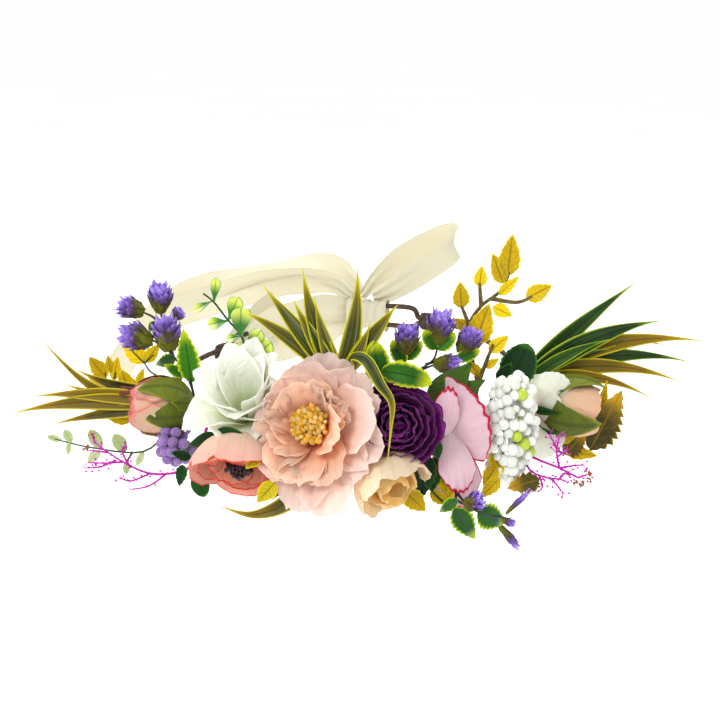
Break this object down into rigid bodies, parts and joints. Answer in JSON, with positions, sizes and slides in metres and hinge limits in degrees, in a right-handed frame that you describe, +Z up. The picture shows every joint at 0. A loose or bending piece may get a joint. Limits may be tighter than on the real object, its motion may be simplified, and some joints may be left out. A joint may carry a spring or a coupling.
{
  "type": "flower crown",
  "caption": "Floral hair crown: a paper-wrapped wire hoop with artificial flowers and foliage on its front half, tied at the back by a ribbon bow through wire eyes.",
  "frame": {"origin": "middle of the wire hoop, which is the middle of the head at the height where the hoop sits", "axes": "+X to the wearer's left, which is the right in a view from the front; -Y forward, out of the forehead and through the flowers; +Z up along the head"},
  "size_m": [0.373, 0.2617, 0.1425],
  "materials": {
    "paper_wire": "matt crepe paper wrap",
    "floral_tape": "matt waxed paper tape",
    "ribbon": "satin, slightly sheer",
    "peach_petal": "matt pressed polyester",
    "orange_petal": "matt pressed polyester",
    "white_petal": "matt pressed polyester",
    "coral_petal": "matt pressed polyester",
    "plum_petal": "crinkled, faint sheen",
    "cream_petal": "matt pressed polyester",
    "pink_petal": "matt pressed polyester",
    "stamen": "matt",
    "dark_stamen": "matt",
    "white_berry": "satin",
    "lilac_berry": "frosted",
    "lavender": "matt",
    "green_leaf": "matt with pressed veins",
    "moulded_green": "satin",
    "grass_leaf": "satin",
    "yellow_leaf": "satin",
    "sage_leaf": "matt",
    "magenta_fern": "matt",
    "brown_leaf": "satin"
  },
  "bodies": {
    "garland": {"brown_leaf": "brown_leaf", "coral_ranunculus_calyx": "moulded_green", "coral_ranunculus_inner_petals": "coral_petal", "coral_ranunculus_outer_petals": "coral_petal", "coral_ranunculus_stamens": "dark_stamen", "cream_rose_calyx": "moulded_green", "cream_rose_heart": "cream_petal", "cream_rose_petals": "cream_petal", "drooping_leaf": "grass_leaf", "eucalyptus_sprig": "moulded_green", "front_hoop_wire": "paper_wire", "garland_tape": "floral_tape", "hydrangea_petals": "white_petal", "left_bud_petals": "peach_petal", "left_bud_sepals": "moulded_green", "left_eucalyptus": "sage_leaf", "left_fern": "magenta_fern", "left_grass": "grass_leaf", "left_lavender": "lavender", "left_yellow_leaves": "yellow_leaf", "lilac_berries": "lilac_berry", "lower_curved_leaf": "grass_leaf", "lower_lavender": "lavender", "lower_leaves": "yellow_leaf", "lower_left_leaf": "moulded_green", "peony_calyx": "moulded_green", "peony_inner_petals": "orange_petal", "peony_outer_petals": "peach_petal", "peony_stamens": "stamen", "pink_flower_calyx": "moulded_green", "pink_flower_inner_petals": "pink_petal", "pink_flower_outer_petals": "pink_petal", "purple_ranunculus_calyx": "moulded_green", "purple_ranunculus_heart": "plum_petal", "purple_ranunculus_inner_petals": "plum_petal", "purple_ranunculus_outer_petals": "plum_petal", "right_bud_petals": "peach_petal", "right_bud_sepals": "moulded_green", "right_fern": "magenta_fern", "right_grass": "grass_leaf", "right_lavender": "lavender", "round_leaf": "green_leaf", "scalloped_leaves": "moulded_green", "serrated_leaves": "brown_leaf", "top_grass": "grass_leaf", "white_berries": "white_berry", "white_flower_calyx": "moulded_green", "white_flower_inner_petals": "white_petal", "white_flower_outer_petals": "white_petal", "woven_leaf": "green_leaf", "yellow_branch": "yellow_leaf"},
    "left_arm": {"left_arm_wire": "paper_wire", "left_eye_binding": "paper_wire"},
    "right_arm": {"right_arm_wire": "paper_wire", "right_eye_binding": "paper_wire", "ribbon_knot": "ribbon", "bow_loop": "ribbon", "ribbon_tail_upper": "ribbon", "ribbon_tail_lower": "ribbon"},
    "tie": {"tie_ribbon": "ribbon"}
  },
  "joints": [
    {"name": "left_arm_flex", "type": "hinge", "parent": "garland", "child": "left_arm", "pos_m": [-0.09292, -0.01975, 0], "axis": [0, 0, -1], "range_deg": [0, 5], "deforming": ["tie_ribbon"]},
    {"name": "right_arm_flex", "type": "hinge", "parent": "garland", "child": "right_arm", "pos_m": [0.09292, -0.01975, 0], "axis": [0, 0, 1], "range_deg": [0, 5]},
    {"name": "tie_swivel", "type": "hinge", "parent": "left_arm", "child": "tie", "pos_m": [-0.0589, 0.0742, 0.001], "axis": [0, 0, 1], "range_deg": [0, 7.1]}
  ],
  "couplings": [
    {"joint": "right_arm_flex", "follows": "left_arm_flex", "ratio": 1},
    {"joint": "tie_swivel", "follows": "left_arm_flex", "ratio": 1.42}
  ]
}
